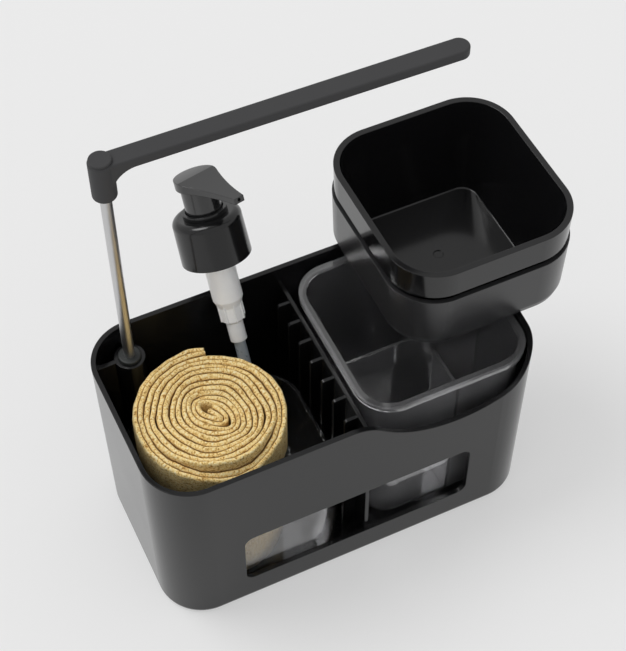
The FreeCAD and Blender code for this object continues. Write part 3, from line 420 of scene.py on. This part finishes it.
# %% The pleated cross-section
PLY_COUNT = 4
PLY_THICK = 1.1
TURN_GAP = 0.45
SIDE_STEPS = 9
FOLD_STEPS = 6
TOP_FOLD_PLIES = 0.8
LOW_FOLD_PLIES = 0.5


def strip_thickness(point):
    """The pleated strip's thickness in mm where its middle passes this point."""
    direction = math.atan2(point.dot(CORE_ACROSS), point.dot(CORE_ALONG))
    return (ROLL_RADIUS - core_radius(direction)) / ROLL_TURNS - TURN_GAP


def pleat_section():
    """Points across the cloth: plies from the outer face, share of the height, rise of a fold in plies."""
    section = []
    for ply in range(PLY_COUNT):
        upward = ply % 2 == 0
        shares = [step / SIDE_STEPS for step in range(SIDE_STEPS + 1)]
        for share in shares if upward else reversed(shares):
            section.append((ply + 0.5, share, 0.0))
        if ply < PLY_COUNT - 1:
            for step in range(1, FOLD_STEPS):
                turn = math.pi * step / FOLD_STEPS
                rise = math.sin(turn) * (TOP_FOLD_PLIES if upward else -LOW_FOLD_PLIES)
                section.append((ply + 1 - 0.5 * math.cos(turn), 1.0 if upward else 0.0, rise))
    return section


section = pleat_section()
print("points across the towel:", len(section))

# %% [markdown]
# No two turns of a hand-rolled towel lie alike. A slow noise bends the whole plan, so neighbouring turns
# bend together and stay clear of each other. Other noises lift the folds by different amounts and
# roughen the surface. Each noise has the length of its waves and how far it moves the cloth. At the front
# the outermost turn has slipped down, and above the clear container's rim the roll spreads.

# %% How the turns lie
# The top edge: the core is sunk, and one place near the outside has slipped. Both are in turns from outside.
TURN_PITCH = 5.8
TOP_MARGIN = 1.2
SINK_START_TURNS = 3.9
SINK_PER_TURN = 0.6
SLIP_DEPTH = 6.0
SLIP_PLACE = 0.545
SLIP_SPREAD = 0.14
# The roll is held narrow to just above the container's rim. At the second level it has spread and shifted.
HELD_LEVEL = 64.0
SPREAD_LEVEL = 82.0
HELD_SHARE = 0.915
TOP_SHIFT = Vector((1.8, 0.3))
# The plies get thinner over the last few millimetres of the outer end.
END_TAPER = 7.0
END_SHARE = 0.3
# The slow bend of the whole plan, which fades near the outside.
BEND_WAVE = 15
BEND_LAYER = 2.7
BEND_DEPTH = 1.9
LOOSE_DEPTH = 12
LEAST_LOOSE = 0.25
# The noises on each ply. A ply's step sets how much it differs from its neighbour.
FINE_WAVE = 3.4
FINE_PLY_STEP = 1.9
FINE_DEPTH = 0.06
SLOW_WAVE_ALONG = 14
SLOW_WAVE_UP = 18
SLOW_PLY_STEP = 0.3
SLOW_DEPTH = 0.4
LIFT_WAVE = 17
LIFT_LAYER = 3.1
LIFT_PLY_STEP = 0.55
LIFT_HEIGHT = 1.1
# Without a seed the noise vectors differ from run to run.
NOISE_SEED = 5
noise.seed_set(NOISE_SEED)


def top_drop(index):
    """How far the top edge lies below the roll's highest point, in mm, at this step of the line."""
    turns = ROLL_RADIUS / TURN_PITCH * (1 - math.sqrt(index / (len(line) - 1)))
    slipped = SLIP_DEPTH * math.exp(-((turns - SLIP_PLACE) / SLIP_SPREAD) ** 2)
    sunk = max(0.0, turns - SINK_START_TURNS)
    return TOP_MARGIN + slipped + SINK_PER_TURN * sunk


def spread(point, level):
    """The plan point at this level: drawn in inside the container, and a little to one side above it."""
    share = min(max((level - HELD_LEVEL) / (SPREAD_LEVEL - HELD_LEVEL), 0.0), 1.0)
    share = share * share * (3 - 2 * share)
    return point * (HELD_SHARE + (1 - HELD_SHARE) * share) + TOP_SHIFT * share


def bent(point):
    """The plan point moved by the slow noise, less so near the roll's outside."""
    loose = min(1.0, max(LEAST_LOOSE, (ROLL_RADIUS - point.length) / LOOSE_DEPTH))
    slow = noise.noise_vector(Vector((point.x / BEND_WAVE, point.y / BEND_WAVE, BEND_LAYER)))
    return point + Vector((slow.x, slow.y)) * BEND_DEPTH * loose


# %% Roll the towel
def towel_rows():
    """Rows of points about the roll's centre, one row across the towel for each step of the line."""
    low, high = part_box("rolled_cloth")
    bottom, top = low.z / MM + PLY_THICK, high.z / MM - PLY_THICK
    rows = []
    for index, point in enumerate(line):
        before, after = line[max(index - 1, 0)], line[min(index + 1, len(line) - 1)]
        ahead = (after - before).normalized()
        inward = Vector((ahead.y, -ahead.x))
        thick = strip_thickness(point)
        way = index * PATH_STEP
        to_end = min(1.0, (rolled_length - way) / END_TAPER)
        ply = thick / PLY_COUNT * math.sqrt(END_SHARE + (1 - END_SHARE) * to_end)
        reach = top - bottom - top_drop(index)
        row = []
        for plies, share, rise in section:
            level = bottom + share * reach + rise * ply
            fine = noise.noise_vector(Vector((way / FINE_WAVE, plies * FINE_PLY_STEP, level / FINE_WAVE)))
            slow = noise.noise(Vector((way / SLOW_WAVE_ALONG, plies * SLOW_PLY_STEP, level / SLOW_WAVE_UP)))
            inset = thick / 2 - (PLY_COUNT - plies) * ply + SLOW_DEPTH * slow + FINE_DEPTH * fine.x
            plan = spread(bent(point + inward * inset), level)
            wave = noise.noise(Vector((way / LIFT_WAVE, LIFT_LAYER + plies * LIFT_PLY_STEP, 0.0)))
            lift = share * (LIFT_HEIGHT * wave + FINE_DEPTH * fine.z)
            row.append(Vector((plan.x, plan.y, level + lift)))
        rows.append(row)
    return rows


def rolled_towel():
    """The pleated towel set along the roll's line, as one sheet with a UV map in metres of cloth."""
    low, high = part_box("rolled_cloth")
    middle = (Vector(low) + Vector(high)) / 2
    rows = towel_rows()
    count = len(section)
    vertices = [(v.x * MM + middle.x, v.y * MM + middle.y, v.z * MM) for row in rows for v in row]
    faces = [
        (i * count + j, i * count + j + 1, (i + 1) * count + j + 1, (i + 1) * count + j)
        for i in range(len(rows) - 1) for j in range(count - 1)
    ]
    mesh = bpy.data.meshes.new("rolled_towel")
    mesh.from_pydata(vertices, [], faces)
    # The cloth's width is measured on the middle row, since the outer end is thinner.
    spent = [0.0]
    usual = rows[len(rows) // 2]
    for a, b in zip(usual, usual[1:]):
        spent.append(spent[-1] + (b - a).length)
    uv = mesh.uv_layers.new(name="cloth")
    for loop in mesh.loops:
        along, across = divmod(loop.vertex_index, count)
        uv.data[loop.index].uv = (along * PATH_STEP * MM, spent[across] * MM)
    piece = bpy.data.objects.new("rolled_towel", mesh)
    bpy.context.scene.collection.objects.link(piece)
    return piece, spent[-1]


towel, towel_width = rolled_towel()
bpy.ops.object.select_all(action="DESELECT")
bpy.context.view_layer.objects.active = towel
towel.select_set(True)
thickness = towel.modifiers.new("ply", "SOLIDIFY")
thickness.thickness = PLY_THICK * MM
thickness.offset = 0.0
bpy.ops.object.modifier_apply(modifier=thickness.name)
bpy.ops.object.shade_smooth()
print("flat towel:", round(towel_width), "by", round(rolled_length), "mm")
print("faces of the towel:", len(towel.data.polygons))

# %% [markdown]
# ## Looped cotton
# The cloth is a knit with small loops on both faces, a little under a millimetre apart in rows. The loops
# give it a grainy surface: their tips get a pale painted highlight and the gaps between them brown painted
# shade. The creases between the folds are darkened with painted shade as well.

# %% Cloth finish
def looped_cotton():
    """Mustard cotton with small loops in rows along the towel."""
    material, tree, shader = new_material("looped_mustard_cotton")
    flat = add(tree, "ShaderNodeUVMap", uv_map="cloth").outputs["UV"]
    # The rows run along the towel, so the loops are longer that way.
    rows = add(tree, "ShaderNodeMapping", [("Vector", flat), ("Scale", (0.7, 1.3, 1.0))])
    # Loops are about 0.8 mm apart; they are drawn at 1 mm so that they show.
    loops = add(tree, "ShaderNodeTexVoronoi", [
        ("Vector", rows.outputs["Vector"]), ("Scale", per_mm(1.0)), ("Randomness", 0.9),
    ])
    fuzz = add(tree, "ShaderNodeTexNoise", [("Vector", flat), ("Scale", per_mm(0.8)), ("Detail", 2.0)])
    patches = add(tree, "ShaderNodeTexNoise", [("Vector", flat), ("Scale", per_mm(11)), ("Detail", 2.0)])
    valley = add(tree, "ShaderNodeMath", [
        (0, loops.outputs["Distance"]), (1, 0.4), (2, fuzz.outputs["Fac"]),
    ], operation="MULTIPLY_ADD")
    # Painted light: the pale tips of the loops are a painted highlight, and the brown between them is painted
    # shade.
    ramp = add(tree, "ShaderNodeValToRGB", [("Fac", valley.outputs["Value"])])
    painted_tip_highlight, painted_gap_shade = ramp.color_ramp.elements
    painted_tip_highlight.position = 0.5
    painted_tip_highlight.color = linear("#fff5cc")
    painted_gap_shade.position = 1.0
    painted_gap_shade.color = linear("#a06c18")
    body = ramp.color_ramp.elements.new(0.72)
    body.color = linear("#fde29c")
    faded = add(tree, "ShaderNodeMix", [
        ("Factor", patches.outputs["Fac"]), ("A", ramp.outputs["Color"]), ("B", linear("#fdf2de")),
    ], data_type="RGBA", blend_type="MULTIPLY")
    # Painted shade: where the ambient occlusion node finds the cloth closed in between the folds, its colour
    # is mixed towards brown, so the creases are browner than the ridges.
    crease_occlusion = add(tree, "ShaderNodeAmbientOcclusion", [("Distance", 3.0 * MM)], samples=8)
    unshaded_share = add(tree, "ShaderNodeMapRange", [
        ("Value", crease_occlusion.outputs["AO"]), ("From Min", 0.15), ("From Max", 0.5),
    ])
    tone = add(tree, "ShaderNodeMix", [
        ("Factor", unshaded_share.outputs["Result"]), ("A", linear("#9c681a")), ("B", faded.outputs["Result"]),
    ], data_type="RGBA")
    bump = add(tree, "ShaderNodeBump", [
        ("Strength", 1.0), ("Distance", 0.5 * MM), ("Height", valley.outputs["Value"]),
    ], invert=True)
    shader.inputs["Roughness"].default_value = 0.95
    shader.inputs["Sheen Weight"].default_value = 0.35
    shader.inputs["Sheen Roughness"].default_value = 0.5
    shader.inputs["Sheen Tint"].default_value = linear("#f3d79a")
    tree.links.new(tone.outputs["Result"], shader.inputs["Base Color"])
    tree.links.new(bump.outputs["Normal"], shader.inputs["Normal"])
    return material


towel.data.materials.append(looped_cotton())
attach(towel, "cloth")
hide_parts("rolled_cloth")

# %% [markdown]
# ## The pump's spring
# Pressing the head pushes the spring together along the pump's line. The spring stands on its lower end,
# so it shortens towards that end, by as much as the head travels. Here the spring only gets a mesh of its
# own.

# %% Give the spring its own mesh
spring = nodes["pump_spring"]
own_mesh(spring)

# %% [markdown]
# ## Floor and light
# A pale floor, an even bright sky and one large soft lamp from the back left. The black plastic shows
# mostly by what it mirrors, so the sky and the floor do most of the work. For the camera, in mirrors and
# through clear plastic, half of the floor's brightness is its own, which keeps the background even and
# the shadow soft.

# %% Floor
FLOOR_SIZE = 8.0
FLOOR_OWN_SHARE = 0.5
FLOOR_COLOUR = "#f0f0f0"
BACKGROUND_COLOUR = "#ebebeb"

bpy.ops.object.select_all(action="DESELECT")
bpy.ops.mesh.primitive_plane_add(size=FLOOR_SIZE, location=(0, 0, 0))
floor = bpy.context.object
floor.name = "floor"
material, tree, shader = new_material("pale_floor")
shader.inputs["Base Color"].default_value = linear(FLOOR_COLOUR)
shader.inputs["Roughness"].default_value = 0.9
own = add(tree, "ShaderNodeEmission", [("Color", linear(BACKGROUND_COLOUR))])
path = add(tree, "ShaderNodeLightPath")
direct = add(tree, "ShaderNodeMath", [
    (0, path.outputs["Is Camera Ray"]), (1, path.outputs["Is Glossy Ray"]),
], operation="MAXIMUM")
seen = add(tree, "ShaderNodeMath", [
    (0, direct.outputs["Value"]), (1, path.outputs["Is Transmission Ray"]),
], operation="MAXIMUM")
share = add(tree, "ShaderNodeMath", [(0, seen.outputs["Value"]), (1, FLOOR_OWN_SHARE)], operation="MULTIPLY")
# A Mix Shader's two shader inputs have one name, so they are given by number.
mixed = add(tree, "ShaderNodeMixShader", [
    (0, share.outputs["Value"]), (1, shader.outputs["BSDF"]), (2, own.outputs["Emission"]),
])
tree.links.new(mixed.outputs["Shader"], tree.nodes["Material Output"].inputs["Surface"])
floor.data.materials.append(material)

# %% Light
LAMP_DIRECTION = Vector((0.42, -0.42, -1.0))
LAMP_SPREAD = math.radians(32)
LAMP_STRENGTH = 1.1
SKY_STRENGTH = 0.65

world = bpy.data.worlds.new("studio")
bpy.context.scene.world = world
world.use_nodes = True
world.node_tree.nodes["Background"].inputs["Color"].default_value = linear("#ffffff")
world.node_tree.nodes["Background"].inputs["Strength"].default_value = SKY_STRENGTH

lamp_data = bpy.data.lights.new("soft_lamp", "SUN")
lamp_data.angle = LAMP_SPREAD
lamp_data.energy = LAMP_STRENGTH
lamp = bpy.data.objects.new("soft_lamp", lamp_data)
lamp.rotation_euler = LAMP_DIRECTION.to_track_quat("-Z", "Y").to_euler()
bpy.context.scene.collection.objects.link(lamp)
bpy.context.scene.view_settings.view_transform = "Standard"
